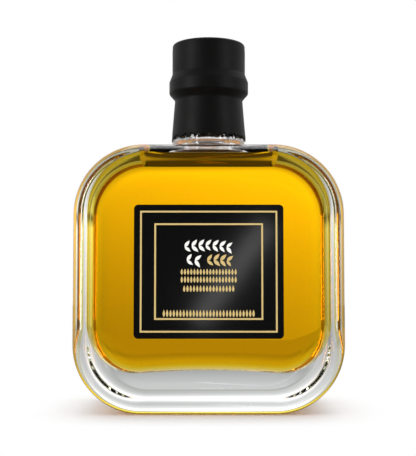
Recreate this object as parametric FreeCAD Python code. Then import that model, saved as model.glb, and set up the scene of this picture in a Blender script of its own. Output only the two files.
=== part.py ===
"""A flat square flask of olive oil: thick clear glass, oil, stopper, shrink capsule and label.

Millimetres, +Z up. The origin is the middle of the base, on the surface that the flask
stands on. The label faces -Y. Each piece is written to parts/ as a solid of its own.
"""

import FreeCAD, Part
import math
import os

Vec = FreeCAD.Vector
AXIS = Vec(0, 0, 1)

# Glass body: a rounded square seen from the front, carried through its depth
body_width = 111.5
body_height = 110.7
body_depth = 68.5
body_top_corner = 29.0
body_bottom_corner = 28.5
body_edge_round = 6.8

# Walls of the body
side_wall = 5.7
face_wall = 4.3
base_thickness = 16.3
shoulder_wall = 3.3

# Hollow inside the body
hollow_top_corner = 23.3
hollow_bottom_corner = 20.0
hollow_edge_round = 9.0
hollow_floor_rise = 1.2
hollow_ceiling_rise = 4.4

# Recess under the base, which leaves a flat ring to stand on
recess_depth = 1.2
recess_margin = 4.0
recess_corner = 12.0

# Neck and mouth ring
neck_height = 34.8
neck_foot_radius = 15.6
neck_waist_radius = 14.5
neck_swell = 0.2
neck_flare = 6.0
neck_flare_margin = 0.5
ring_radius = 17.05
ring_height = 5.0
ring_top_slope = 3.5
ring_under_slope = 2.9
bore_radius = 9.3
bore_flare = 6.0

# Stopper: a head on the mouth and a shank that fills the bore under it
head_radius = 15.7
head_height = 13.2
head_top_round = 1.6
shank_length = 22.0

# Shrink capsule over the head, the ring and the neck
film = 0.3
capsule_gap = 4.6

# Oil level, as the depth of its surface under the crown of the hollow
oil_ullage = 1.3

# Label on the front face
label_width = 60.6
label_height = 54.2
label_corner = 1.8
label_thickness = 0.15
label_middle = 58.0

# What follows from the sizes above
half_width = body_width / 2
half_depth = body_depth / 2
hollow_half_width = half_width - side_wall
hollow_half_depth = half_depth - face_wall
hollow_top = body_height - shoulder_wall
mouth_z = body_height + neck_height
ring_top_z = mouth_z - ring_top_slope
ring_bottom_z = ring_top_z - ring_height
waist_z = ring_bottom_z - ring_under_slope
flare = min(neck_flare, half_depth - body_edge_round - neck_foot_radius - neck_flare_margin)
flare_top_z = body_height + flare
oil_z = hollow_top - oil_ullage
capsule_bottom_z = body_height + capsule_gap
stopper_top_z = mouth_z + head_height


def at(x, z):
    """A point in the plane that halves the flask from front to back."""
    return Vec(x, 0, z)


def line(start, end):
    return Part.LineSegment(start, end).toShape()


def arc(start, middle, end):
    return Part.Arc(start, middle, end).toShape()


def lines(points):
    return [line(a, b) for a, b in zip(points, points[1:])]


def out_from(centre, towards, distance):
    """The point at a distance from the centre, in the direction of another point."""
    return centre + (towards - centre).normalize() * distance


def short_arc(start, end, centre):
    """The shorter arc between two points that lie on a circle round the centre."""
    radius = (start - centre).Length
    return arc(start, out_from(centre, (start + end) * 0.5, radius), end)


def radius_over(half_chord, rise):
    """The radius of a circle whose arc rises by so much over a chord."""
    return (half_chord**2 + rise**2) / (2 * rise)


def revolved(edges):
    """A solid turned from a closed profile that lies beside the axis."""
    return Part.Face(Part.Wire(edges)).revolve(Vec(0, 0, 0), AXIS, 360)


def rounded_slab(outline, depth, radius):
    """An outline carried through a depth, with its front and back edges rounded."""
    face = Part.Face(Part.Wire(outline))
    face.translate(Vec(0, -depth / 2, 0))
    slab = face.extrude(Vec(0, depth, 0))
    rims = [edge for edge in slab.Edges if edge.BoundBox.YLength < 1e-3]
    return slab.makeFillet(radius, rims)


def body_outline():
    """The rounded square of the glass, anticlockwise from the lower right side."""
    top, low = body_top_corner, body_bottom_corner
    top_x, top_z = half_width - top, body_height - top
    low_x, low_z = half_width - low, low
    return [
        line(at(half_width, low_z), at(half_width, top_z)),
        short_arc(at(half_width, top_z), at(top_x, body_height), at(top_x, top_z)),
        line(at(top_x, body_height), at(-top_x, body_height)),
        short_arc(at(-top_x, body_height), at(-half_width, top_z), at(-top_x, top_z)),
        line(at(-half_width, top_z), at(-half_width, low_z)),
        short_arc(at(-half_width, low_z), at(-low_x, 0), at(-low_x, low_z)),
        line(at(-low_x, 0), at(low_x, 0)),
        short_arc(at(low_x, 0), at(half_width, low_z), at(low_x, low_z)),
    ]


def hollow_outline():
    """The hollow's outline, with a crowned ceiling and a floor that bulges up."""
    side, top, low = hollow_half_width, hollow_top_corner, hollow_bottom_corner
    ceiling = radius_over(side, hollow_ceiling_rise)
    ceiling_c = at(0, hollow_top - ceiling)
    floor = radius_over(side - low, hollow_floor_rise)
    floor_c = at(0, base_thickness + hollow_floor_rise - floor)
    top_x, low_x = side - top, side - low
    top_z = ceiling_c.z + math.sqrt((ceiling - top) ** 2 - top_x**2)
    low_z = floor_c.z + math.sqrt((floor + low) ** 2 - low_x**2)
    ceiling_right = out_from(ceiling_c, at(top_x, top_z), ceiling)
    ceiling_left = at(-ceiling_right.x, ceiling_right.z)
    floor_right = out_from(floor_c, at(low_x, low_z), floor)
    floor_left = at(-floor_right.x, floor_right.z)
    return [
        line(at(side, low_z), at(side, top_z)),
        short_arc(at(side, top_z), ceiling_right, at(top_x, top_z)),
        arc(ceiling_right, at(0, hollow_top), ceiling_left),
        short_arc(ceiling_left, at(-side, top_z), at(-top_x, top_z)),
        line(at(-side, top_z), at(-side, low_z)),
        short_arc(at(-side, low_z), floor_left, at(-low_x, low_z)),
        arc(floor_left, at(0, floor_c.z + floor), floor_right),
        short_arc(floor_right, at(side, low_z), at(low_x, low_z)),
    ]


def neck_side(layer, start_z):
    """The outside of neck, ring and head, with a layer over it, from a height upward."""
    flare_c = at(neck_foot_radius + flare, flare_top_z)
    foot = at(neck_foot_radius + layer, flare_top_z)
    waist = at(neck_waist_radius + layer, waist_z)
    swell = at((foot.x + waist.x) / 2 - neck_swell, (foot.z + waist.z) / 2)
    drop = flare_top_z - start_z
    reach = math.sqrt(max((flare - layer) ** 2 - drop**2, 0))
    start = at(flare_c.x - reach, start_z)
    corners = [
        waist,
        at(ring_radius + layer, ring_bottom_z),
        at(ring_radius + layer, ring_top_z),
        at(head_radius + layer, mouth_z),
    ]
    return [short_arc(start, foot, flare_c), arc(foot, swell, waist)] + lines(corners)


def neck():
    """The neck's outside, from inside the shoulder up to the mouth, solid on the axis."""
    sunk = body_height - shoulder_wall / 2
    root = neck_foot_radius + flare
    bottom = [at(0, sunk), at(root, sunk), at(root, body_height)]
    top = [at(head_radius, mouth_z), at(0, mouth_z), at(0, sunk)]
    return revolved(lines(bottom) + neck_side(0, body_height) + lines(top))


def base_recess():
    """A shallow pan under the base, with rounded corners and a rounded roof edge."""
    wide = half_width - body_bottom_corner - recess_margin
    deep = half_depth - body_edge_round - recess_margin
    pan = Part.makeBox(2 * wide, 2 * deep, 2 * recess_depth, Vec(-wide, -deep, -recess_depth))
    upright = [edge for edge in pan.Edges if edge.BoundBox.ZLength > recess_depth]
    pan = pan.makeFillet(recess_corner, upright)
    roof = [edge for edge in pan.Edges if edge.BoundBox.ZMin > recess_depth / 2]
    return pan.makeFillet(recess_depth * 0.9, roof)


def hollow():
    """The space inside the glass, from its floor to the mouth."""
    room = rounded_slab(hollow_outline(), 2 * hollow_half_depth, hollow_edge_round)
    start = (base_thickness + hollow_top) / 2
    bore = Part.makeCylinder(bore_radius, mouth_z - start, at(0, start))
    joined = room.fuse(bore)
    return joined.makeFillet(bore_flare, [e for e in joined.Edges if is_bore_root(e)])


def is_bore_root(edge):
    """True for the edge where the bore leaves the ceiling of the hollow."""
    box = edge.BoundBox
    reach = max(-box.XMin, box.XMax, -box.YMin, box.YMax)
    level = hollow_top - hollow_ceiling_rise < box.ZMin and box.ZMax < body_height
    return level and abs(reach - bore_radius) < 0.01


def glass(space):
    """The bottle: body and neck in one piece, hollowed, with a recess under the base."""
    body = rounded_slab(body_outline(), body_depth, body_edge_round)
    return body.fuse(neck()).cut(space).cut(base_recess()).removeSplitter()


def oil(space):
    """The oil: the hollow filled up to the level."""
    side = body_width + body_height
    below = Part.makeBox(2 * side, 2 * side, side + oil_z, Vec(-side, -side, -side))
    return space.common(below)


def stopper():
    """A head that sits on the mouth, and a plain shank that fills the bore under it."""
    head = Part.makeCylinder(head_radius, head_height, at(0, mouth_z))
    rim = [edge for edge in head.Edges if edge.BoundBox.ZMin > stopper_top_z - 1e-3]
    head = head.makeFillet(head_top_round, rim)
    shank = Part.makeCylinder(bore_radius, shank_length, at(0, mouth_z - shank_length))
    return head.fuse(shank).removeSplitter()


def cover(layer):
    """Everything inside a layer over the stopper's head, the ring and the neck."""
    top, side, turn = stopper_top_z + layer, head_radius + layer, head_top_round + layer
    turn_c = at(side - turn, top - turn)
    wall_top, top_edge = at(side, turn_c.z), at(turn_c.x, top)
    edges = neck_side(layer, capsule_bottom_z)
    edges += [line(at(side, mouth_z), wall_top), short_arc(wall_top, top_edge, turn_c)]
    foot = edges[0].Vertexes[0].Point
    edges += lines([top_edge, at(0, top), at(0, capsule_bottom_z), foot])
    return revolved(edges)


def capsule():
    """The film, shrunk onto what it covers and open at the bottom."""
    return cover(film).cut(cover(0))


def label():
    """A thin plate with rounded corners, flat on the front face."""
    x, z, r = label_width / 2, label_height / 2, label_corner
    sheet = Part.makeBox(2 * x, label_thickness, 2 * z, Vec(-x, -half_depth - label_thickness, -z))
    upright = [edge for edge in sheet.Edges if edge.BoundBox.YLength > label_thickness / 2]
    sheet = sheet.makeFillet(r, upright)
    sheet.translate(Vec(0, 0, label_middle))
    return sheet


def main():
    os.makedirs("parts", exist_ok=True)
    space = hollow()
    pieces = {
        "glass_bottle": glass(space),
        "olive_oil": oil(space),
        "stopper": stopper(),
        "capsule": capsule(),
        "front_label": label(),
    }
    for name, shape in pieces.items():
        if not shape.isValid() or len(shape.Solids) != 1:
            raise RuntimeError(name + " is not one valid solid")
        box = shape.BoundBox
        size = "%.2f x %.2f x %.2f" % (box.XLength, box.YLength, box.ZLength)
        print(name, size, "volume %.1f ml" % (shape.Volume / 1000))
        shape.Solids[0].exportStep("parts/" + name + ".step")


main()
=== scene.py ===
"""Looks of a flat square flask of olive oil: glass, oil, film, label and a plain studio.

Metres, +Z up, in the frame of the CAD model. The label faces -Y.
"""

import contextlib
import math

import bmesh
import bpy
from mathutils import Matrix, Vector


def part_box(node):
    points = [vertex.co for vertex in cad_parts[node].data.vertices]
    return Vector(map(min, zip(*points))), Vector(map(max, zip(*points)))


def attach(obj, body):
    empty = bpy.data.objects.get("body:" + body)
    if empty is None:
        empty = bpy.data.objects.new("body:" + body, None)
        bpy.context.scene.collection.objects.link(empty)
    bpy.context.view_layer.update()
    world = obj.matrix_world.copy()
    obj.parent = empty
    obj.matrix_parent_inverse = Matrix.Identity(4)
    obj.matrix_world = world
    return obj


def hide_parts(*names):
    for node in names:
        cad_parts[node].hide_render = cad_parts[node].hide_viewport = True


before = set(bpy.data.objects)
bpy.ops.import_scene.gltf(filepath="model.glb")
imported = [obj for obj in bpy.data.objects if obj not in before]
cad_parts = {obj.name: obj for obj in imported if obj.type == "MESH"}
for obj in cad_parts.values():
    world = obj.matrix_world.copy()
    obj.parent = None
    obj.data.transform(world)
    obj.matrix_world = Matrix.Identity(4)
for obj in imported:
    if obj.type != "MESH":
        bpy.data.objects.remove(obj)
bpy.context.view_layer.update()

bl_info = {
    "name": "Oil Flask",
    "version": (1, 0, 0),
    "blender": (4, 5, 0),
    "location": "View3D > Sidebar > Flask",
    "description": "Builds the glass, oil, film and label of a square oil flask",
    "category": "Object",
}

GLASS_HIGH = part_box("glass_bottle")[1]
OIL_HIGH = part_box("olive_oil")[1]
PLUG_LOW, PLUG_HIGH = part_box("stopper")
FILM_LOW, FILM_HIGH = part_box("capsule")
LABEL_LOW, LABEL_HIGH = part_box("front_label")

# The collar where a neck joins a wall has as many steps along each side of its patch
PATCH_STEPS = 24
RING_STEPS = 4 * PATCH_STEPS
ROUND_STEPS = 14
LIP_STEPS = 8
PAN_STEPS = 6
EDGE_SUPPORT = 0.0006
# Edges that turn by more than this many degrees stay sharp
CREASE = 25

# How far what is inside the glass reaches into its wall
OIL_REACH = 0.00015
# How strongly each bends light. Where they touch, the wall takes the ratio of the
# two and the oil's side takes none, so that the pair bends light as it should.
GLASS_BEND = 1.52
OIL_BEND = 1.47
# How fast light fades on its way through each, and how uneven the pressed glass is
GLASS_DENSITY = 4.0
OIL_DENSITY = 115.0
GLASS_WAVE = 0.04

NECK_SWELL = 0.0002
PLUG_CHAMFER = 0.0008
# The film's top is closed by a small flat disc
FILM_DISC = 0.0004
# How often the film's shrink marks, and the shreds of its edge, repeat in a metre
MARK_SCALE = (170, 170, 60)
SHRED_SCALE = (700, 700, 0)
# The shreds hang where the noise is over this, and how strongly they do
SHRED_LEVEL = 0.45
SHRED_PULL = -4.0
# The marks stop just under the film's flat top
MARKED_SHARE = 0.985
EDGE_ZONE = 0.0028
# Length and width of a sprig's leaf, and how high its line is for its span
SPRIG_LEAF = (0.0034, 0.0014)
SPRIG_ARCH = 0.035

# How far the label reaches into the glass, and its own limit for a sharp edge
LABEL_REACH = 1e-5
LABEL_CREASE = 40

WHITE = (1, 1, 1, 1)
UPRIGHT = (math.pi / 2, 0, 0)
# The middle of the flask, which the lamps face, and the turn of the label's own strip
LAMP_AIM = Vector((0, 0, 0.09))
LABEL_LAMP_TURN = (math.pi / 2, math.radians(36), 0)
FLOOR_RADIUS = 3.0
# Half of the part of the floor that the flask darkens fully
FOOTPRINT = (0.030, 0.026, 0.0)
# Where the shadow round it runs out into white
SHADOW_RUN = (0.002, 0.046)
CARD_PLACE = (0, 0.6, 0.3)
# The card's least and greatest light, how it grows with height, and how it leans aside
CARD_LIGHT = (0.4, 1.35)
CARD_RISE = (0.56, 1.5, 16.0)
CARD_LEAN = 1.4
# Place and size of the dark card that paints a dark reflection in the underside of the oil's
# surface
FLAG_PLACE = (0, 0.12, 0.092)
FLAG_SIZE = (0.08, 0.018)


def length(name, description, default):
    """A size in metres, as a property."""
    return bpy.props.FloatProperty(
        name=name, description=description, default=default, unit="LENGTH", precision=5
    )


def number(name, description, default):
    """A plain number, as a property."""
    return bpy.props.FloatProperty(name=name, description=description, default=default, precision=4)


def colour(name, description, default):
    """A colour in linear light, as a property."""
    return bpy.props.FloatVectorProperty(
        name=name, description=description, default=default, size=3, subtype="COLOR", min=0, max=1
    )


class GlassSizes(bpy.types.PropertyGroup):
    """Sizes of the flask that its box doesn't give."""

    body_height: length("Body height", "From the base up to the shoulder", 0.1107)
    top_corner: length("Top corner", "Radius of the outer upper corners", 0.029)
    low_corner: length("Low corner", "Radius of the outer lower corners", 0.0285)
    edge_round: length("Edge", "Rounding of the front and back edges", 0.0068)
    shoulder_wall: length("Shoulder", "Glass above the hollow", 0.0033)
    hollow_top_corner: length("Hollow top corner", "Radius of its upper corners", 0.0233)
    hollow_low_corner: length("Hollow low corner", "Radius of its lower corners", 0.020)
    hollow_edge: length("Hollow edge", "Rounding of its front and back edges", 0.009)
    ceiling_rise: length("Ceiling rise", "How far the ceiling is crowned", 0.0044)
    floor_rise: length("Floor rise", "How far the floor bulges up", 0.0012)
    base: length("Base", "Glass under the hollow, at its lowest", 0.0163)
    flare: length("Flare", "Radius where the neck leaves the shoulder", 0.006)
    foot: length("Neck foot", "Radius of the neck above its flare", 0.0156)
    waist: length("Neck waist", "Radius of the neck under its ring", 0.0145)
    waist_height: length("Waist height", "Height where the ring begins", 0.1341)
    ring: length("Ring", "Radius of the mouth ring", 0.01705)
    ring_low: length("Ring bottom", "Height of the ring's lower edge", 0.137)
    ring_high: length("Ring top", "Height of the ring's upper edge", 0.142)
    bore: length("Bore", "Radius of the bore", 0.0093)
    bore_root: length("Bore root", "Rounding where the bore leaves the hollow", 0.006)
    recess: length("Recess", "Depth of the pan under the base", 0.0012)
    recess_margin: length("Recess margin", "Width of the ring that it leaves", 0.004)
    recess_corner: length("Recess corner", "Radius of the pan's corners", 0.012)


class CapsuleSizes(bpy.types.PropertyGroup):
    """Sizes of the shrink film and of the stopper under it."""

    film: length("Film", "Thickness of the film", 0.0003)
    head: length("Head", "Radius of the stopper's head", 0.0157)
    head_round: length("Head rounding", "Rounding of the head's top edge", 0.0009)
    wrinkle: length("Wrinkle", "Depth of the film's shrink marks", 0.00018)
    tear: length("Tear", "Unevenness of the film's lower edge", 0.003)
    lip: length("Lip", "How far the film's lower edge stands off the neck", 0.0003)
    lift: length("Lift", "Height of the film's lower edge over its longest shreds", 0.0021)


class LabelSizes(bpy.types.PropertyGroup):
    """Sizes of the label's frames and print."""

    corner: length("Corner", "Radius of the label's corners", 0.0018)
    line: length("Line", "Width of the gold lines", 0.0007)
    outer_gap: length("Outer gap", "From the edge to the outer gold frame", 0.0025)
    inner_gap: length("Inner gap", "From the sides to the inner gold frame", 0.0083)
    inner_rise: length("Inner rise", "From the top and foot to the inner gold frame", 0.0076)
    foil: length("Foil", "Thickness of the print", 0.00003)


class StageSizes(bpy.types.PropertyGroup):
    """Places of the camera and strengths of the lamps."""

    distance: length("Distance", "From the camera to the flask's axis", 0.4388)
    horizon: length("Horizon", "Height of the camera's eye", 0.0505)
    focal: number("Focal", "Focal length as a multiple of the frame's height", 2.193)
    tilt: number("Tilt", "How far the camera looks up, in degrees", 3.55)
    turn: number("Turn", "How far the camera looks left, in degrees", 0.04)
    left_power: number("Left lamp", "Power of the left strip lamp, in watts", 5.0)
    right_power: number("Right lamp", "Power of the right strip lamp, in watts", 3.2)
    top_power: number("Top lamp", "Power of the lamp overhead, in watts", 4.0)
    label_power: number("Label lamp", "Power of the lamp that shines on the label, in watts", 0.017)


class Colours(bpy.types.PropertyGroup):
    """Colours of the materials."""

    glass_tint: colour("Glass", "What thick glass lets through", (0.86, 0.93, 0.90))
    oil_tint: colour("Oil", "What a deep layer of oil lets through", (0.993, 0.893, 0.0))
    film: colour("Film", "Black shrink film", (0.0036, 0.0036, 0.0034))
    label: colour("Label", "Black of the label", (0.0035, 0.0035, 0.0035))
    gold: colour("Gold", "Champagne gold of the print", (0.72, 0.53, 0.21))
    white: colour("White", "White of the print", (0.85, 0.84, 0.80))
    floor: colour("Floor", "Pale floor", (0.86, 0.86, 0.86))


# Meshes


@contextlib.contextmanager
def edited(mesh):
    """A mesh opened for edits, which are written back at the end."""
    shape = bmesh.new()
    shape.from_mesh(mesh)
    yield shape
    shape.to_mesh(mesh)
    shape.free()


def mesh_object(name, mesh):
    """A new object in the scene that shows a mesh."""
    piece = bpy.data.objects.new(name, mesh)
    bpy.context.scene.collection.objects.link(piece)
    return piece


def built(name, vertices, faces):
    """An object from vertices and faces, smooth, with its faces turned outwards."""
    mesh = bpy.data.meshes.new(name)
    mesh.from_pydata(vertices, [], faces)
    with edited(mesh) as shape:
        bmesh.ops.recalc_face_normals(shape, faces=shape.faces)
        for face in shape.faces:
            face.smooth = True
    return mesh_object(name, mesh)


def prism(name, ring, front, back):
    """A closed solid from a ring of (x, z) points, between two depths."""
    count = len(ring)
    vertices = [(x, y, z) for y in (front, back) for x, z in ring]
    faces = [tuple(range(count)), tuple(range(2 * count - 1, count - 1, -1))]
    for i in range(count):
        j = (i + 1) % count
        faces.append((i, i + count, j + count, j))
    return built(name, vertices, faces)


def sharpen(piece, degrees=CREASE):
    """Marks each edge that turns by more than so much as a sharp one."""
    limit = math.radians(degrees)
    with edited(piece.data) as shape:
        for edge in shape.edges:
            if len(edge.link_faces) == 2 and edge.calc_face_angle() > limit:
                edge.smooth = False


def quarter(steps):
    """Sine and cosine at even steps over a quarter of a turn."""
    for i in range(steps + 1):
        turn = math.pi / 2 * i / steps
        yield math.sin(turn), math.cos(turn)


def arc_points(cx, cz, radius, start, end, steps, first=True):
    """Points along an arc, as (x, z, inward x, inward z), with angles in degrees."""
    points = []
    for i in range(0 if first else 1, steps + 1):
        turn = math.radians(start + (end - start) * i / steps)
        c, s = math.cos(turn), math.sin(turn)
        points.append((cx + radius * c, cz + radius * s, -c, -s))
    return points


def run_points(start, end, inward, steps):
    """Points inside a straight run, without its two ends."""
    points = []
    for i in range(1, steps):
        t = i / steps
        x = start[0] + (end[0] - start[0]) * t
        z = start[1] + (end[1] - start[1]) * t
        points.append((x, z, inward[0], inward[1]))
    return points


def square_outline(half, height, top, low, arc_steps=26, side_steps=10):
    """A rounded square with flat top and base, clockwise from the top flat's left end."""
    a, b = half - top, half - low
    points = [(-a, height, 0, -1)]
    points += run_points((-a, height), (a, height), (0, -1), PATCH_STEPS)
    points += arc_points(a, height - top, top, 90, 0, arc_steps)
    points += run_points((half, height - top), (half, low), (-1, 0), side_steps)
    points += arc_points(b, low, low, 0, -90, arc_steps)
    points += run_points((b, 0), (-b, 0), (0, 1), PATCH_STEPS)
    points += arc_points(-b, low, low, -90, -180, arc_steps)
    points += run_points((-half, low), (-half, height - top), (1, 0), side_steps)
    points += arc_points(-a, height - top, top, 180, 90, arc_steps)[:-1]
    return points


def hollow_outline(sizes, grow=0.0, arc_steps=24, side_steps=10):
    """The hollow's outline, with a crowned ceiling and a bulging floor, in the same order."""
    half = OIL_HIGH[0] + grow
    top, low = sizes.hollow_top_corner + grow, sizes.hollow_low_corner + grow
    roof_z, roof = ceiling_circle(sizes, grow)
    reach = half - low
    bulge = (reach**2 + sizes.floor_rise**2) / (2 * sizes.floor_rise)
    bulge_z = sizes.base + sizes.floor_rise - grow - bulge
    top_z = roof_z + math.sqrt((roof - top) ** 2 - (half - top) ** 2)
    low_z = bulge_z + math.sqrt((bulge + low) ** 2 - reach**2)
    lean = math.degrees(math.asin((half - top) / (roof - top)))
    dip = math.degrees(math.asin(reach / (bulge + low)))
    points = arc_points(0, roof_z, roof, 90 + lean, 90 - lean, PATCH_STEPS)
    points += arc_points(half - top, top_z, top, 90 - lean, 0, arc_steps, first=False)
    points += run_points((half, top_z), (half, low_z), (-1, 0), side_steps)
    points += arc_points(reach, low_z, low, 0, -90 - dip, arc_steps)
    for x, z, nx, nz in arc_points(0, bulge_z, bulge, 90 - dip, 90 + dip, 16)[1:-1]:
        points.append((x, z, -nx, -nz))
    points += arc_points(-reach, low_z, low, -90 + dip, -180, arc_steps)
    points += run_points((-half, low_z), (-half, top_z), (1, 0), side_steps)
    points += arc_points(top - half, top_z, top, 180, 90 + lean, arc_steps)[:-1]
    return points


def ceiling_circle(sizes, grow=0.0):
    """The height of the centre, and the radius, of the hollow's crowned ceiling."""
    half = OIL_HIGH[0] + grow
    roof = (half**2 + sizes.ceiling_rise**2) / (2 * sizes.ceiling_rise)
    return sizes.body_height - sizes.shoulder_wall + grow - roof, roof


class Skin:
    """Vertices and faces of one closed surface, while it is put together."""

    def __init__(self, steps=RING_STEPS, start=-135):
        self.vertices = []
        self.faces = []
        self.slots = []
        self.slot = 0
        self.steps = steps
        self.start = math.radians(start)

    def face(self, corners):
        self.faces.append(tuple(corners))
        self.slots.append(self.slot)

    def add(self, x, y, z):
        self.vertices.append((x, y, z))
        return len(self.vertices) - 1

    def bridge(self, one, two):
        """Quads between two closed loops of the same length. It returns the second."""
        count = len(one)
        for i in range(count):
            j = (i + 1) % count
            self.face((one[i], one[j], two[j], two[i]))
        return two

    def slab(self, outline, half_depth, edge, top_hole=False, low_hole=False):
        """A slab with rounded edges round an outline, with holes left in its top or base.

        It returns the loops round the holes.
        """
        rows = [(edge + EDGE_SUPPORT, -half_depth)]
        for sine, cosine in quarter(ROUND_STEPS):
            rows.append((edge * (1 - sine), edge * (1 - cosine) - half_depth))
        flat = half_depth - edge
        first = len(rows) - 1
        last = first + PATCH_STEPS
        rows += [(0, 2 * flat * i / PATCH_STEPS - flat) for i in range(1, PATCH_STEPS)]
        rows += [(inset, -y) for inset, y in reversed(rows[: first + 1])]
        loops = []
        for inset, y in rows:
            loops.append([self.add(x + nx * inset, y, z + nz * inset) for x, z, nx, nz in outline])
        lowest = min(z for x, z, nx, nz in outline)
        low_start = max(range(len(outline)), key=lambda i: (outline[i][1] <= lowest, outline[i][0]))
        starts = ([0] if top_hole else []) + ([low_start] if low_hole else [])
        for j in range(len(loops) - 1):
            for i in range(len(outline)):
                holed = any(start <= i < start + PATCH_STEPS for start in starts)
                if first <= j < last and holed:
                    continue
                k = (i + 1) % len(outline)
                self.face((loops[j][i], loops[j][k], loops[j + 1][k], loops[j + 1][i]))
        self.face(loops[0])
        self.face(loops[-1])
        return [self.hole_loop(loops, start, first, last) for start in starts]

    def hole_loop(self, loops, start, first, last):
        """The loop round a square hole, from its corner at the left front."""
        end = start + PATCH_STEPS
        loop = [loops[first][i] for i in range(start, end)]
        loop += [loops[j][end] for j in range(first, last)]
        loop += [loops[last][i] for i in range(end, start, -1)]
        loop += [loops[j][start] for j in range(last, first, -1)]
        return loop

    def ring(self, radius, height, lift=None):
        """A loop round the axis, which as a rule starts at the left front, as hole_loop does."""
        loop = []
        for i in range(self.steps):
            turn = self.start + 2 * math.pi * i / self.steps
            x, y = radius * math.cos(turn), radius * math.sin(turn)
            loop.append(self.add(x, y, height + (lift(x, y) if lift else 0)))
        return loop

    def turned(self, loop, profile):
        """Rings for each (radius, height) of a profile, joined from a loop onward."""
        for radius, height in profile:
            loop = self.bridge(loop, self.ring(radius, height))
        return loop


def curve_between(start, end, bulge, steps):
    """Points (radius, height) on a shallow bow between two points, without its start."""
    points = []
    for i in range(1, steps + 1):
        t = i / steps
        radius = start[0] + (end[0] - start[0]) * t - bulge * 4 * t * (1 - t)
        points.append((radius, start[1] + (end[1] - start[1]) * t))
    return points


def flare_curve(foot, shoulder, flare, steps=12):
    """The neck's concave flare, from the shoulder up to the foot of the neck."""
    return [
        (foot + flare - flare * sine, shoulder + flare - flare * cosine)
        for sine, cosine in quarter(steps)
    ]


def neck_curve(sizes, mouth, mouth_radius):
    """The neck from its foot up to the mouth, with the ring on it."""
    foot = (sizes.foot, sizes.body_height + sizes.flare)
    waist = (sizes.waist, sizes.waist_height)
    points = curve_between(foot, waist, NECK_SWELL, 8)
    points += [(sizes.ring, sizes.ring_low), (sizes.ring, sizes.ring_high)]
    points.append((mouth_radius, mouth))
    return points


def square_ring(half_x, half_y, corner, steps):
    """Points (x, y) round a rounded square, from its left front corner, as ring goes."""
    quarter = steps // 4
    corners = [(-1, -1), (1, -1), (1, 1), (-1, 1)]
    points = []
    for side in range(4):
        (ax, ay), (bx, by) = corners[side], corners[(side + 1) % 4]
        a = (ax * (half_x - corner), ay * (half_y - corner))
        b = (bx * (half_x - corner), by * (half_y - corner))
        facing = -90 + 90 * side
        for i in range(steps):
            if i < quarter:
                centre, turn = a, facing - 45 + 45 * i / quarter
            elif i > steps - quarter:
                centre, turn = b, facing + 45 * (i - steps + quarter) / quarter
            else:
                t = (i - quarter) / (steps - 2 * quarter)
                centre, turn = (a[0] + (b[0] - a[0]) * t, a[1] + (b[1] - a[1]) * t), facing
            c, s = math.cos(math.radians(turn)), math.sin(math.radians(turn))
            points.append((centre[0] + corner * c, centre[1] + corner * s))
    return points


# Nodes


def node(tree, kind, inputs=None, **settings):
    """A new node with some of its inputs and settings set."""
    new = tree.nodes.new(kind)
    for key, value in settings.items():
        setattr(new, key, value)
    for key, value in (inputs or {}).items():
        if isinstance(value, bpy.types.NodeSocket):
            tree.links.new(value, new.inputs[key])
        else:
            new.inputs[key].default_value = value
    return new


def math_node(tree, operation, *values):
    """The output of a math node on its values."""
    inputs = dict(enumerate(values))
    return node(tree, "ShaderNodeMath", inputs, operation=operation).outputs[0]


def fold(tree, operation, *values):
    """The output of a chain of math nodes, each on the last result and the next value."""
    result = values[0]
    for value in values[1:]:
        result = math_node(tree, operation, result, value)
    return result


def vector_math(tree, operation, *values):
    """The output of a vector math node: a number for a length, or else a vector."""
    result = "Value" if operation == "LENGTH" else "Vector"
    inputs = dict(enumerate(values))
    return node(tree, "ShaderNodeVectorMath", inputs, operation=operation).outputs[result]


def map_range(tree, value, source, target, smooth=False):
    """A value taken from one range to another, and held at its ends."""
    (low, high), (first, last) = source, target
    inputs = {"Value": value, "From Min": low, "From Max": high, "To Min": first, "To Max": last}
    kind = "SMOOTHSTEP" if smooth else "LINEAR"
    return node(tree, "ShaderNodeMapRange", inputs, interpolation_type=kind).outputs[0]


def noise(tree, place, scale, detail, **more):
    """Noise at a place, in four dimensions where it is given a W."""
    inputs = {"Vector": place, "Scale": scale, "Detail": detail, **more}
    size = "4D" if "W" in more else "3D"
    return node(tree, "ShaderNodeTexNoise", inputs, noise_dimensions=size).outputs[0]


def bump(tree, height, strength, distance):
    """A bump from a height."""
    inputs = {"Height": height, "Strength": strength, "Distance": distance}
    return node(tree, "ShaderNodeBump", inputs).outputs[0]


def axes(tree, place):
    """The three numbers of a place."""
    return node(tree, "ShaderNodeSeparateXYZ", {"Vector": place}).outputs[:]


def combine(tree, x=0.0, y=0.0, z=0.0):
    """A vector of three numbers."""
    return node(tree, "ShaderNodeCombineXYZ", {"X": x, "Y": y, "Z": z}).outputs[0]


def own_place(tree):
    """The place in the object's own coordinates."""
    return tree.nodes.new("ShaderNodeTexCoord").outputs["Object"]


def light_path(tree):
    """What kind of ray looks."""
    return tree.nodes.new("ShaderNodeLightPath").outputs


def glow(tree, strength):
    """White light of a strength."""
    return node(tree, "ShaderNodeEmission", {"Color": WHITE, "Strength": strength})


def mix(tree, output, share, plain, other):
    """Shows a plain shader on the surface, or another one by its share."""
    inputs = {0: share, 1: plain.outputs[0], 2: other.outputs[0]}
    mixed = node(tree, "ShaderNodeMixShader", inputs)
    tree.links.new(mixed.outputs[0], output.inputs["Surface"])


def principled(tree, output, inputs):
    """Puts a Principled shader with these inputs on the surface."""
    shader = node(tree, "ShaderNodeBsdfPrincipled", inputs)
    tree.links.new(shader.outputs[0], output.inputs["Surface"])


def new_material(name):
    """A material with an empty tree and its output."""
    material = bpy.data.materials.new(name)
    material.use_nodes = True
    tree = material.node_tree
    tree.nodes.clear()
    return material, tree, tree.nodes.new("ShaderNodeOutputMaterial")


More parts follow.
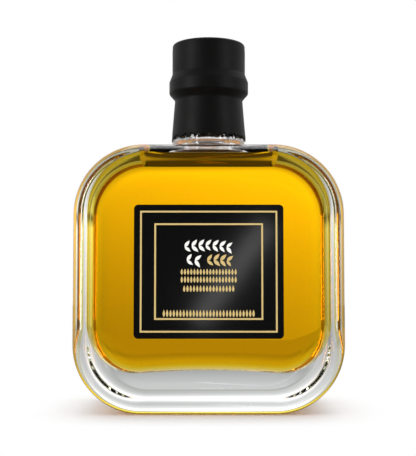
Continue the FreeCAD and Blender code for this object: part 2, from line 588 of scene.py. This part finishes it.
def mark(piece):
    """Keeps which faces touch something else as an attribute, and leaves one slot."""
    mesh = piece.data
    chosen = [polygon.material_index for polygon in mesh.polygons]
    mesh.attributes.new("touch", "FLOAT", "FACE").data.foreach_set("value", chosen)
    mesh.polygons.foreach_set("material_index", [0] * len(chosen))


def clear_material(name, bends, tint, density, wave=0.0):
    """A clear solid or liquid that takes its colour from its depth."""
    material, tree, output = new_material(name)
    touch = node(tree, "ShaderNodeAttribute", attribute_name="touch").outputs["Fac"]
    ripple = noise(tree, own_place(tree), 60, 1.0)
    inputs = {
        "Base Color": WHITE,
        "Roughness": 0.0,
        "IOR": map_range(tree, touch, (0, 1), bends),
        "Transmission Weight": 1.0,
        "Normal": bump(tree, ripple, wave, 0.0002),
    }
    principled(tree, output, inputs)
    depth = node(tree, "ShaderNodeVolumeAbsorption", {"Color": (*tint, 1), "Density": density})
    tree.links.new(depth.outputs[0], output.inputs["Volume"])
    return material


def film_material(colours):
    """Matte black shrink film with a fine grain and soft shrink marks."""
    material, tree, output = new_material("shrink_film")
    place = own_place(tree)
    grain = noise(tree, place, 900, 3.0)
    cloud = noise(tree, place, 120, 4.0)
    tone = map_range(tree, grain, (0, 1), (0.7, 1.3))
    shade = node(
        tree,
        "ShaderNodeMix",
        {"Factor": 1.0, 6: (*colours.film, 1), 7: tone},
        data_type="RGBA",
        blend_type="MULTIPLY",
    )
    inputs = {
        "Base Color": shade.outputs[2],
        "Roughness": map_range(tree, cloud, (0, 1), (0.42, 0.6)),
        "IOR": 1.5,
        "Specular IOR Level": 0.16,
        "Normal": bump(tree, grain, 0.25, 0.00005),
    }
    principled(tree, output, inputs)
    return material


def plain_material(name, tint, roughness, metallic=0.0, grain=0.2, scale=700):
    """A solid finish with a fine grain in its roughness and its surface."""
    material, tree, output = new_material(name)
    speck = noise(tree, own_place(tree), scale, 3.0)
    inputs = {
        "Base Color": (*tint, 1),
        "Metallic": metallic,
        "Roughness": map_range(
            tree, speck, (0, 1), (roughness * (1 - grain), roughness * (1 + grain))
        ),
        "Normal": bump(tree, speck, grain / 2, 0.00003),
    }
    principled(tree, output, inputs)
    return material


# Geometry Nodes


class Growth:
    """A Geometry Nodes tree with named inputs, and the modifier that runs it."""

    def __init__(self, name, inputs):
        self.tree = bpy.data.node_groups.new(name, "GeometryNodeTree")
        self.values = {}
        face = self.tree.interface
        face.new_socket("Geometry", in_out="INPUT", socket_type="NodeSocketGeometry")
        face.new_socket("Geometry", in_out="OUTPUT", socket_type="NodeSocketGeometry")
        for label, value in inputs.items():
            kind = "NodeSocketInt" if isinstance(value, int) else "NodeSocketFloat"
            socket = face.new_socket(label, in_out="INPUT", socket_type=kind)
            self.values[socket.identifier] = value
        self.start = self.tree.nodes.new("NodeGroupInput")
        self.end = self.tree.nodes.new("NodeGroupOutput")

    def __getitem__(self, label):
        return self.start.outputs[label]

    def finish(self, geometry, material):
        """Realizes the instances and sets the material at the end of the tree."""
        real = node(self.tree, "GeometryNodeRealizeInstances", {"Geometry": geometry})
        painted = node(self.tree, "GeometryNodeSetMaterial", {"Geometry": real.outputs[0]})
        painted.inputs["Material"].default_value = material
        self.tree.links.new(painted.outputs[0], self.end.inputs[0])

    def run(self, piece):
        """Runs the tree on an object and leaves a plain mesh in its place."""
        modifier = piece.modifiers.new(self.tree.name, "NODES")
        modifier.node_group = self.tree
        for identifier, value in self.values.items():
            modifier[identifier] = value
        bpy.context.view_layer.update()
        graph = bpy.context.evaluated_depsgraph_get()
        mesh = bpy.data.meshes.new_from_object(piece.evaluated_get(graph))
        piece.modifiers.remove(modifier)
        piece.data = mesh
        return piece


def joined(tree, *parts):
    """Several pieces of geometry as one."""
    both = tree.nodes.new("GeometryNodeJoinGeometry")
    for part in parts:
        tree.links.new(part, both.inputs[0])
    return both.outputs[0]


# Pieces


def settle(piece, material, slot, *replaced):
    """Gives a piece its material and its place on the body, and hides the parts that it stands for.
    """
    piece.data.materials.clear()
    piece.data.materials.append(material)
    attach(piece, "root")
    if replaced:
        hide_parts(*replaced)


class FLASK_OT_glass(bpy.types.Operator):
    """Build the glass as one closed wall: body, neck, bore, hollow and pan"""

    bl_idname = "flask.glass"
    bl_label = "Glass"

    def execute(self, context):
        sizes = context.scene.flask_glass
        colours = context.scene.flask_colours
        half, depth, mouth = GLASS_HIGH
        skin = Skin()
        outline = square_outline(half, sizes.body_height, sizes.top_corner, sizes.low_corner)
        top, low = skin.slab(outline, depth, sizes.edge_round, top_hole=True, low_hole=True)
        head = context.scene.flask_capsule.head
        profile = flare_curve(sizes.foot, sizes.body_height, sizes.flare)
        profile += neck_curve(sizes, mouth, head)
        bore_low = sizes.body_height - sizes.shoulder_wall + sizes.bore_root
        profile += [(sizes.bore, mouth), (sizes.bore, bore_low)]
        loop = skin.turned(top, profile)
        self.pan(skin, low, sizes, half, depth)
        self.hollow(skin, loop, sizes)
        piece = built("flask_glass", skin.vertices, skin.faces)
        piece.data.polygons.foreach_set("material_index", skin.slots)
        self.wet(piece, OIL_HIGH[2])
        mark(piece)
        sharpen(piece)
        bends = (GLASS_BEND, GLASS_BEND / OIL_BEND)
        tint = colours.glass_tint
        glass = clear_material("flint_glass", bends, tint, GLASS_DENSITY, GLASS_WAVE)
        settle(piece, glass, "clear_glass", "glass_bottle")
        return {"FINISHED"}

    def wet(self, piece, level):
        """Splits the hollow's wall at the oil level and keeps only the low part wet."""
        with edited(piece.data) as shape:
            wall = [face for face in shape.faces if face.material_index == 1]
            edges = list({edge for face in wall for edge in face.edges})
            points = list({point for face in wall for point in face.verts})
            bmesh.ops.bisect_plane(
                shape, geom=points + edges + wall, plane_co=(0, 0, level), plane_no=(0, 0, 1)
            )
            for face in shape.faces:
                if face.calc_center_median().z > level:
                    face.material_index = 0

    def hollow(self, skin, loop, sizes):
        """Runs the bore out into the ceiling, and adds the walls of the hollow."""
        root = sizes.bore_root
        roof_z, roof = ceiling_circle(sizes)
        for sine, cosine in quarter(LIP_STEPS):
            radius = sizes.bore + root * (1 - cosine)
            rise = root * (1 - sine)
            following = skin.ring(
                radius, 0, lambda x, y: roof_z + math.sqrt(roof**2 - x**2) + rise
            )
            loop = skin.bridge(loop, following)
        skin.slot = 1
        wall = OIL_HIGH[1]
        (hole,) = skin.slab(hollow_outline(sizes), wall, sizes.hollow_edge, top_hole=True)
        skin.bridge(loop, hole)

    def pan(self, skin, loop, sizes, half, depth):
        """The shallow pan under the base."""
        wide = half - sizes.low_corner - sizes.recess_margin
        deep = depth - sizes.edge_round - sizes.recess_margin
        for sine, cosine in quarter(PAN_STEPS):
            inset = sizes.recess * (1 - cosine)
            points = square_ring(wide - inset, deep - inset, sizes.recess_corner, PATCH_STEPS)
            following = [skin.add(-x, y, sizes.recess * sine) for x, y in points]
            loop = skin.bridge(loop, following)
        skin.face(loop)


class FLASK_OT_oil(bpy.types.Operator):
    """Fill the hollow with oil that reaches just into the wall"""

    bl_idname = "flask.oil"
    bl_label = "Oil"

    def execute(self, context):
        sizes = context.scene.flask_glass
        reach = OIL_REACH
        skin = Skin()
        outline = hollow_outline(sizes, reach)
        skin.slab(outline, OIL_HIGH[1] + reach, sizes.hollow_edge + reach)
        piece = built("oil_fill", skin.vertices, skin.faces)
        self.cut(piece, OIL_HIGH[2])
        tint = context.scene.flask_colours.oil_tint
        mark(piece)
        oil = clear_material("golden_oil", (1.0, OIL_BEND), tint, OIL_DENSITY)
        settle(piece, oil, "oil", "olive_oil")
        return {"FINISHED"}

    def cut(self, piece, level):
        """Takes off what is over the level and closes the top with a flat face."""
        with edited(piece.data) as shape:
            everything = shape.verts[:] + shape.edges[:] + shape.faces[:]
            bmesh.ops.bisect_plane(
                shape,
                geom=everything,
                plane_co=(0, 0, level),
                plane_no=(0, 0, 1),
                clear_outer=True,
            )
            rim = [edge for edge in shape.edges if edge.is_boundary]
            surface = bmesh.ops.contextual_create(shape, geom=rim)["faces"]
            if len(surface) != 1:
                raise RuntimeError("the oil has no single flat surface")
            surface[0].material_index = 1
            for edge in rim:
                edge.smooth = False
            bmesh.ops.recalc_face_normals(shape, faces=shape.faces)


class FLASK_OT_stopper(bpy.types.Operator):
    """Build the stopper that the film covers"""

    bl_idname = "flask.stopper"
    bl_label = "Stopper"

    def execute(self, context):
        sizes = context.scene.flask_capsule
        bore = context.scene.flask_glass.bore + OIL_REACH
        mouth = GLASS_HIGH[2]
        skin = Skin()
        low = PLUG_LOW[2]
        first = skin.ring(bore - PLUG_CHAMFER, low)
        profile = [(bore, low + PLUG_CHAMFER), (bore, mouth), (sizes.head, mouth)]
        turn = sizes.head_round
        for sine, cosine in quarter(LIP_STEPS):
            radius = sizes.head - turn * (1 - cosine)
            profile.append((radius, PLUG_HIGH[2] - turn * (1 - sine)))
        skin.face(first)
        skin.face(skin.turned(first, profile))
        piece = built("stopper_plug", skin.vertices, skin.faces)
        sharpen(piece)
        black = plain_material("stopper_black", (0.02, 0.02, 0.02), 0.5)
        settle(piece, black, "stopper_plastic", "stopper")
        return {"FINISHED"}


def filleted(points, radii, arc_steps=6, longest=0.0009):
    """A profile of (radius, height) with its inner corners rounded and long runs divided."""
    outline = [Vector(points[0])]
    for before, corner, after, radius in zip(points, points[1:], points[2:], radii):
        before, corner, after = Vector(before), Vector(corner), Vector(after)
        back, ahead = (before - corner).normalized(), (after - corner).normalized()
        half = back.angle(ahead) / 2
        reach = radius / math.tan(half)
        centre = corner + (back + ahead).normalized() * radius / math.sin(half)
        first = (corner + back * reach - centre).normalized()
        last = (corner + ahead * reach - centre).normalized()
        for i in range(arc_steps + 1):
            outline.append(centre + first.slerp(last, i / arc_steps) * radius)
    outline.append(Vector(points[-1]))
    divided = [outline[0]]
    for a, b in zip(outline, outline[1:]):
        steps = max(1, math.ceil((b - a).length / longest))
        divided += [a.lerp(b, i / steps) for i in range(1, steps + 1)]
    return divided


def film_growth(sizes, edge, top, material):
    """Shrink marks on the film and a torn lower edge, worked out by nodes."""
    growth = Growth(
        "shrink_marks",
        {
            "Wrinkle": sizes.wrinkle,
            "Tear": sizes.tear,
            "Longest": -sizes.lift,
            "Edge": edge,
            "Edge Zone": EDGE_ZONE,
            "Top": top,
            "Seed": 3,
        },
    )
    tree = growth.tree
    place = tree.nodes.new("GeometryNodeInputPosition").outputs[0]
    normal = tree.nodes.new("GeometryNodeInputNormal").outputs[0]
    up = axes(tree, place)[2]
    seed = growth["Seed"]
    marks = noise(tree, vector_math(tree, "MULTIPLY", place, MARK_SCALE), 1.0, 3.0, W=seed)
    share = map_range(tree, up, (0.0, growth["Top"]), (0, 1))
    below = math_node(tree, "LESS_THAN", share, MARKED_SHARE)
    height = fold(tree, "MULTIPLY", marks, growth["Wrinkle"], below)
    swollen = node(tree, "ShaderNodeVectorMath", {0: normal, 3: height}, operation="SCALE")
    around = vector_math(tree, "MULTIPLY", place, SHRED_SCALE)
    ragged = noise(tree, around, 1.0, 4.0, W=seed, Roughness=0.7)
    over = math_node(tree, "SUBTRACT", up, growth["Edge"])
    near = math_node(tree, "SUBTRACT", 1.0, math_node(tree, "DIVIDE", over, growth["Edge Zone"]))
    near = math_node(tree, "MAXIMUM", near, 0.0)
    drop = math_node(tree, "SUBTRACT", ragged, SHRED_LEVEL)
    drop = fold(tree, "MULTIPLY", drop, near, growth["Tear"], SHRED_PULL)
    drop = math_node(tree, "MAXIMUM", drop, growth["Longest"])
    offset = vector_math(tree, "ADD", swollen.outputs[0], combine(tree, z=drop))
    inputs = {"Geometry": growth["Geometry"], "Offset": offset}
    moved = node(tree, "GeometryNodeSetPosition", inputs)
    growth.finish(moved.outputs[0], material)
    return growth


class FLASK_OT_capsule(bpy.types.Operator):
    """Shrink the black film over the stopper, the ring and the neck"""

    bl_idname = "flask.capsule"
    bl_label = "Capsule"

    around: bpy.props.IntProperty(name="Around", description="Steps round the neck", default=288)

    def execute(self, context):
        glass = context.scene.flask_glass
        sizes = context.scene.flask_capsule
        film, mouth, top = sizes.film, GLASS_HIGH[2], FILM_HIGH[2]
        side = sizes.head + film
        low = FILM_LOW[2] + sizes.lift
        drop = max(glass.body_height + glass.flare - low, 0.0)
        edge = glass.foot + glass.flare - math.sqrt((glass.flare - film) ** 2 - drop**2)
        corners = [
            (edge + sizes.lip, low),
            (glass.waist + film, glass.waist_height),
            (glass.ring + film, glass.ring_low),
            (glass.ring + film, glass.ring_high),
            (side, mouth),
            (side, top),
            (FILM_DISC, top),
        ]
        radii = [0.0018, 0.0014, 0.0012, 0.0016, sizes.head_round + film]
        profile = filleted(corners, radii)
        skin = Skin(self.around, start=0)
        skin.face(skin.turned(skin.ring(*profile[0]), profile[1:]))
        mesh = bpy.data.meshes.new("shrink_film")
        mesh.from_pydata(skin.vertices, [], skin.faces)
        mesh.shade_smooth()
        piece = mesh_object("shrink_film", mesh)
        material = film_material(context.scene.flask_colours)
        film_growth(sizes, low, top, material).run(piece)
        thick = piece.modifiers.new("thickness", "SOLIDIFY")
        thick.thickness = film + 0.00005
        thick.offset = -1
        settle(piece, material, "black_film", "capsule")
        return {"FINISHED"}


def frame_growth(width, height, line, foil, place, material):
    """A rectangular line of foil, as a filled band between two rectangles."""
    inputs = {"Width": width, "Height": height, "Line": line, "Foil": foil}
    growth = Growth("foil_frame", {**inputs, "Front": place[1], "Up": place[2]})
    tree = growth.tree
    twice = math_node(tree, "MULTIPLY", growth["Line"], 2.0)
    sides = []
    for shrink in (0.0, twice):
        wide = math_node(tree, "SUBTRACT", growth["Width"], shrink)
        tall = math_node(tree, "SUBTRACT", growth["Height"], shrink)
        inputs = {"Width": wide, "Height": tall}
        sides.append(node(tree, "GeometryNodeCurvePrimitiveQuadrilateral", inputs).outputs[0])
    filled = node(tree, "GeometryNodeFillCurve", {"Curve": joined(tree, *sides)})
    inputs = {
        "Geometry": thickened(tree, filled.outputs[0], growth["Foil"]),
        "Rotation": UPRIGHT,
        "Translation": combine(tree, 0.0, growth["Front"], growth["Up"]),
    }
    growth.finish(node(tree, "GeometryNodeTransform", inputs).outputs[0], material)
    return growth


def thickened(tree, flat, thickness):
    """A closed solid from a flat face in the XY plane, raised by a thickness."""
    inputs = {"Mesh": flat, "Offset": (0, 0, 1), "Offset Scale": thickness, "Individual": False}
    raised = node(tree, "GeometryNodeExtrudeMesh", inputs)
    under = node(tree, "GeometryNodeFlipFaces", {"Mesh": flat})
    both = joined(tree, raised.outputs[0], under.outputs[0])
    inputs = {"Geometry": both, "Distance": 1e-7}
    return node(tree, "GeometryNodeMergeByDistance", inputs).outputs[0]


def leaf(name, long, wide, foil, steps=10):
    """A flat pointed leaf of foil that stands on its stalk at the origin, facing -Y."""
    right, left = [], []
    for i in range(1, steps):
        t = i / steps
        reach = wide / 2 * math.sin(math.pi * t**0.8)
        right.append((reach, long * t))
        left.append((-reach, long * t))
    piece = prism(name, [(0, 0)] + right + [(0, long)] + left[::-1], -foil, 0)
    piece.data.shade_flat()
    return piece


def set_leaves(growth, points, turn, sizes, material):
    """Puts a leaf on each point, of a size between two, and ends the tree."""
    tree = growth.tree
    inputs = {2: sizes[0], 3: sizes[1], "Seed": growth["Seed"]}
    size = node(tree, "FunctionNodeRandomValue", inputs, data_type="FLOAT").outputs[1]
    inputs = {
        "Points": points.outputs[0],
        "Instance": growth["Geometry"],
        "Rotation": combine(tree, y=turn),
        "Scale": combine(tree, size, 1.0, size),
    }
    growth.finish(node(tree, "GeometryNodeInstanceOnPoints", inputs).outputs[0], material)
    return growth


def band_growth(count, pitch, height, front, material):
    """A level row of upright leaves."""
    inputs = {"Count": count, "Pitch": pitch, "Height": height, "Front": front, "Seed": 5}
    growth = Growth("leaf_band", inputs)
    tree = growth.tree
    steps = math_node(tree, "SUBTRACT", growth["Count"], 1.0)
    start = fold(tree, "MULTIPLY", steps, growth["Pitch"], -0.5)
    inputs = {
        "Count": growth["Count"],
        "Start Location": combine(tree, start, growth["Front"], growth["Height"]),
        "Offset": combine(tree, growth["Pitch"]),
    }
    line = node(tree, "GeometryNodeMeshLine", inputs)
    return set_leaves(growth, line, 0.0, (0.93, 1.0), material)


def sprig_growth(count, span, aside, height, front, material):
    """Leaves in pairs along an arched line, those of a pair leaning apart."""
    line = {"Count": count, "Span": span, "Aside": aside, "Arch": span * SPRIG_ARCH}
    place = {"Height": height, "Front": front, "Spread": 0.8, "Seed": 11}
    growth = Growth("sprig", {**line, **place})
    tree = growth.tree
    index = tree.nodes.new("GeometryNodeInputIndex").outputs[0]
    pair = math_node(tree, "FLOOR", math_node(tree, "DIVIDE", index, 2.0))
    pairs = math_node(tree, "SUBTRACT", math_node(tree, "DIVIDE", growth["Count"], 2.0), 1.0)
    t = math_node(tree, "DIVIDE", pair, pairs)
    across = math_node(tree, "SUBTRACT", t, 0.5)
    x = math_node(tree, "MULTIPLY_ADD", across, growth["Span"], growth["Aside"])
    bow = math_node(tree, "MULTIPLY", math_node(tree, "MULTIPLY", across, across), -4.0)
    z = math_node(tree, "MULTIPLY_ADD", bow, growth["Arch"], growth["Height"])
    slope = math_node(tree, "MULTIPLY", across, growth["Arch"])
    slope = math_node(tree, "DIVIDE", math_node(tree, "MULTIPLY", slope, -8.0), growth["Span"])
    heading = math_node(tree, "SUBTRACT", math.pi / 2, math_node(tree, "ARCTANGENT", slope))
    side = math_node(tree, "MULTIPLY_ADD", math_node(tree, "MODULO", index, 2.0), 2.0, -1.0)
    turn = math_node(tree, "MULTIPLY_ADD", side, growth["Spread"], heading)
    inputs = {"Count": growth["Count"], "Position": combine(tree, x, growth["Front"], z)}
    points = node(tree, "GeometryNodePoints", inputs)
    return set_leaves(growth, points, turn, (0.8, 1.05), material)


class FLASK_OT_label(bpy.types.Operator):
    """Build the label and the print on it: two frames, a sprig and bands of leaves"""

    bl_idname = "flask.label"
    bl_label = "Label"

    def execute(self, context):
        sizes = context.scene.flask_label
        colours = context.scene.flask_colours
        half_x = LABEL_HIGH[0]
        half_z = (LABEL_HIGH[2] - LABEL_LOW[2]) / 2
        middle = (LABEL_HIGH[2] + LABEL_LOW[2]) / 2
        front = LABEL_LOW[1] + sizes.foil
        black = plain_material("label_black", colours.label, 0.1, grain=0.05, scale=300)
        corners = square_ring(half_x, half_z, sizes.corner, 40)
        ring = [(x, middle + z) for x, z in corners]
        board = prism("label_board", ring, front, LABEL_HIGH[1] + LABEL_REACH)
        sharpen(board, LABEL_CREASE)
        settle(board, black, "label_film", "front_label")
        gold = plain_material("gold_foil", colours.gold, 0.38, metallic=0.15)
        white = plain_material("white_ink", colours.white, 0.5)
        frames = (
            ("outer_frame", sizes.outer_gap, sizes.outer_gap),
            ("inner_frame", sizes.inner_gap, sizes.inner_rise),
        )
        for name, gap, rise in frames:
            piece = mesh_object(name, bpy.data.meshes.new(name))
            width, height = 2 * (half_x - gap), 2 * (half_z - rise)
            place = (0, front, middle)
            frame_growth(width, height, sizes.line, sizes.foil, place, gold).run(piece)
            settle(piece, gold, "label_film")
        # Leaves, distance between them, their length and their height from the middle
        bands = (
            ("band_one", 18, 0.00128, 0.0026, -0.0014),
            ("band_two", 18, 0.00128, 0.0028, -0.0046),
            ("band_three", 16, 0.00132, 0.0028, -0.0083),
            ("band_low", 28, 0.00134, 0.0031, -0.0184),
        )
        for name, count, pitch, tall, up in bands:
            piece = leaf(name, tall, pitch * 0.72, sizes.foil)
            band_growth(count, pitch, middle + up, front, gold).run(piece)
            settle(piece, gold, "label_film")
        # Leaves, middle from side to side, span and height from the label's middle
        sprigs = (
            ("sprig_high", 14, -0.0012, 0.0170, 0.0105, white),
            ("sprig_low", 4, -0.0072, 0.0032, 0.0046, white),
            ("sprig_gold", 8, 0.0034, 0.0079, 0.0046, gold),
        )
        for name, count, aside, span, up, ink in sprigs:
            sprig = leaf(name, *SPRIG_LEAF, sizes.foil)
            sprig_growth(count, span, aside, middle + up, front, ink).run(sprig)
            settle(sprig, ink, "label_film")
        return {"FINISHED"}


def stage_piece(name, shape, material, place=(0, 0, 0), turn=(0, 0, 0)):
    """Makes an object of the stage from the shape of its mesh."""
    mesh = bpy.data.meshes.new(name)
    shape.to_mesh(mesh)
    shape.free()
    mesh.materials.append(material)
    piece = mesh_object(name, mesh)
    piece.location = place
    piece.rotation_euler = turn


class FLASK_OT_stage(bpy.types.Operator):
    """Set the floor, the lamps, the surroundings and the camera"""

    bl_idname = "flask.stage"
    bl_label = "Stage"

    def execute(self, context):
        stage = context.scene.flask_stage
        self.floor(context.scene.flask_colours.floor)
        self.card()
        self.flag()
        self.surroundings(context.scene)
        lamps = (
            ("left_strip", (-0.75, -0.52, 0.16), (0.16, 0.9), stage.left_power, None),
            ("right_strip", (0.75, -0.52, 0.16), (0.16, 0.9), stage.right_power, None),
            ("overhead", (0.1, 0.25, 0.95), (0.9, 0.7), stage.top_power, None),
            (
                "label_strip",
                (0.024, -0.634, 0.068),
                (0.018, 0.12),
                stage.label_power,
                LABEL_LAMP_TURN,
            ),
        )
        for lamp in lamps:
            self.lamp(*lamp)
        self.camera(context.scene, stage)
        context.scene.view_settings.view_transform = "Standard"
        return {"FINISHED"}

    def floor(self, tint):
        """A round floor that runs into the white of the surroundings. Seen through the glass it
        glows dimmer further away, and in reflections darker towards the front, as painted shade.
        """
        material, tree, output = new_material("pale_floor")
        place = own_place(tree)
        beyond = vector_math(tree, "SUBTRACT", vector_math(tree, "ABSOLUTE", place), FOOTPRINT)
        beyond = vector_math(tree, "LENGTH", vector_math(tree, "MAXIMUM", beyond, (0, 0, 0)))
        fade = map_range(tree, beyond, SHADOW_RUN, (0, 1), smooth=True)
        away = vector_math(tree, "LENGTH", place)
        path = light_path(tree)
        camera, glossy, within = (
            path[f"Is {kind} Ray"] for kind in ("Camera", "Glossy", "Transmission")
        )
        # Painted shade: seen through the glass, the floor glows dimmer the further it is from the
        # middle
        painted_shade_through_glass = math_node(tree, "MULTIPLY", within, map_range(tree, away, (0.13, 0.22), (0.62, 0.42)))
        # Painted dark reflection: in reflections, the floor glows darker towards the front
        front = map_range(tree, axes(tree, place)[1], (-0.1, 0.3), (0.02, 0.5))
        shine = math_node(tree, "MULTIPLY", glossy, front)
        level = fold(tree, "MAXIMUM", painted_shade_through_glass, shine, camera)
        share = fold(tree, "MAXIMUM", math_node(tree, "MULTIPLY", camera, fade), within, glossy)
        diffuse = node(tree, "ShaderNodeBsdfDiffuse", {"Color": (*tint, 1)})
        mix(tree, output, share, diffuse, glow(tree, level))
        shape = bmesh.new()
        bmesh.ops.create_circle(shape, cap_ends=True, segments=96, radius=FLOOR_RADIUS)
        stage_piece("floor", shape, material)

    def upright(self, name, material, place, size):
        """A card that stands across the view, round its place."""
        shape = bmesh.new()
        bmesh.ops.create_grid(shape, x_segments=1, y_segments=1, size=0.5)
        bmesh.ops.scale(shape, vec=(*size, 1.0), verts=shape.verts)
        stage_piece(name, shape, material, place, UPRIGHT)

    def card(self):
        """A card behind the flask that only shows through the glass."""
        material, tree, output = new_material("card_light")
        x, y, z = axes(tree, own_place(tree))
        height = math_node(tree, "ADD", y, CARD_PLACE[2])
        across = math_node(tree, "MULTIPLY_ADD", x, CARD_LEAN, 1.0)
        start, slope, curve = CARD_RISE
        upwards = math_node(tree, "MULTIPLY_ADD", height, curve, slope)
        upwards = math_node(tree, "MULTIPLY_ADD", upwards, height, start)
        least, most = CARD_LIGHT
        level = math_node(tree, "MINIMUM", math_node(tree, "MULTIPLY", across, upwards), most)
        level = math_node(tree, "MAXIMUM", level, least)
        out = math_node(tree, "MAXIMUM", math_node(tree, "ABSOLUTE", x), height)
        fade = map_range(tree, out, (0.28, 0.38), (1.0, 0.2))
        light = glow(tree, math_node(tree, "MULTIPLY", level, fade))
        seen = light_path(tree)["Is Transmission Ray"]
        mix(tree, output, seen, tree.nodes.new("ShaderNodeBsdfTransparent"), light)
        self.upright("card", material, CARD_PLACE, (1, 1))

    def flag(self):
        """A small dark card that only shows in the underside of the oil's surface, as a painted
        dark reflection there.
        """
        material, tree, output = new_material("painted_dark_reflection")
        path = light_path(tree)
        turned = math_node(tree, "GREATER_THAN", path["Glossy Depth"], 0.5)
        height = axes(tree, own_place(tree))[1]
        fade = map_range(tree, height, (-0.009, -0.002), (0, 1), smooth=True)
        seen = fold(tree, "MULTIPLY", turned, path["Is Transmission Ray"], fade)
        mix(tree, output, seen, tree.nodes.new("ShaderNodeBsdfTransparent"), glow(tree, 0.06))
        self.upright("flag", material, FLAG_PLACE, FLAG_SIZE)

    def surroundings(self, scene):
        """White where it is looked at, plain light elsewhere, darker towards the front."""
        world = bpy.data.worlds.new("studio")
        scene.world = world
        world.use_nodes = True
        tree = world.node_tree
        tree.nodes.clear()
        output = tree.nodes.new("ShaderNodeOutputWorld")
        x, y, z = axes(tree, tree.nodes.new("ShaderNodeTexCoord").outputs["Generated"])
        path = light_path(tree)
        plain = math_node(tree, "MULTIPLY", path["Is Diffuse Ray"], 0.75)
        behind = map_range(tree, y, (-0.45, 0.35), (0.02, 0.9), smooth=True)
        shine = math_node(tree, "MULTIPLY", behind, path["Is Glossy Ray"])
        beyond = map_range(tree, y, (-0.6, 0.5), (0.9, 0.7), smooth=True)
        aside = map_range(tree, math_node(tree, "ABSOLUTE", x), (0.4, 0.9), (1.0, 0.65))
        beyond = fold(tree, "MULTIPLY", beyond, aside, path["Is Transmission Ray"])
        level = fold(tree, "MAXIMUM", plain, shine, beyond, path["Is Camera Ray"])
        light = node(tree, "ShaderNodeBackground", {"Color": WHITE, "Strength": level})
        tree.links.new(light.outputs[0], output.inputs["Surface"])

    def lamp(self, name, place, size, power, turn):
        """A soft rectangular lamp that faces the middle of the flask, or is turned as given."""
        data = bpy.data.lights.new(name, "AREA")
        data.shape = "RECTANGLE"
        data.size, data.size_y = size
        data.energy = power
        lamp = bpy.data.objects.new(name, data)
        lamp.location = place
        aim = (LAMP_AIM - Vector(place)).to_track_quat("-Z", "Y").to_euler()
        lamp.rotation_euler = turn or aim
        bpy.context.scene.collection.objects.link(lamp)

    def camera(self, scene, stage):
        """The camera, level with the label and looking slightly up."""
        data = bpy.data.cameras.new("camera")
        data.lens = stage.focal * data.sensor_width
        camera = bpy.data.objects.new("camera", data)
        camera.location = (0, -stage.distance, stage.horizon)
        turn = math.radians(stage.turn)
        camera.rotation_euler = (math.radians(90 + stage.tilt), 0, turn)
        scene.collection.objects.link(camera)
        scene.camera = camera


class FLASK_PT_panel(bpy.types.Panel):
    """The steps that build the flask, in order"""

    bl_idname = "FLASK_PT_panel"
    bl_label = "Oil Flask"
    bl_space_type = "VIEW_3D"
    bl_region_type = "UI"
    bl_category = "Flask"

    def draw(self, context):
        for group in GROUPS:
            box = self.layout.box()
            owner = getattr(context.scene, group)
            for name in owner.bl_rna.properties.keys():
                if name not in ("name", "rna_type"):
                    box.prop(owner, name)
        for step in STEPS:
            self.layout.operator(step.bl_idname)


GROUPS = {
    "flask_glass": GlassSizes,
    "flask_capsule": CapsuleSizes,
    "flask_label": LabelSizes,
    "flask_stage": StageSizes,
    "flask_colours": Colours,
}
STEPS = (
    FLASK_OT_glass,
    FLASK_OT_oil,
    FLASK_OT_stopper,
    FLASK_OT_capsule,
    FLASK_OT_label,
    FLASK_OT_stage,
)


def register():
    for group in GROUPS.values():
        bpy.utils.register_class(group)
    for kind in (*STEPS, FLASK_PT_panel):
        bpy.utils.register_class(kind)
    for name, group in GROUPS.items():
        setattr(bpy.types.Scene, name, bpy.props.PointerProperty(type=group))


def unregister():
    for name in GROUPS:
        delattr(bpy.types.Scene, name)
    for kind in (FLASK_PT_panel, *reversed(STEPS)):
        bpy.utils.unregister_class(kind)
    for group in reversed(GROUPS.values()):
        bpy.utils.unregister_class(group)


def main():
    register()
    bpy.ops.flask.glass()
    bpy.ops.flask.oil()
    bpy.ops.flask.stopper()
    bpy.ops.flask.capsule()
    bpy.ops.flask.label()
    bpy.ops.flask.stage()


if __name__ == "__main__":
    main()
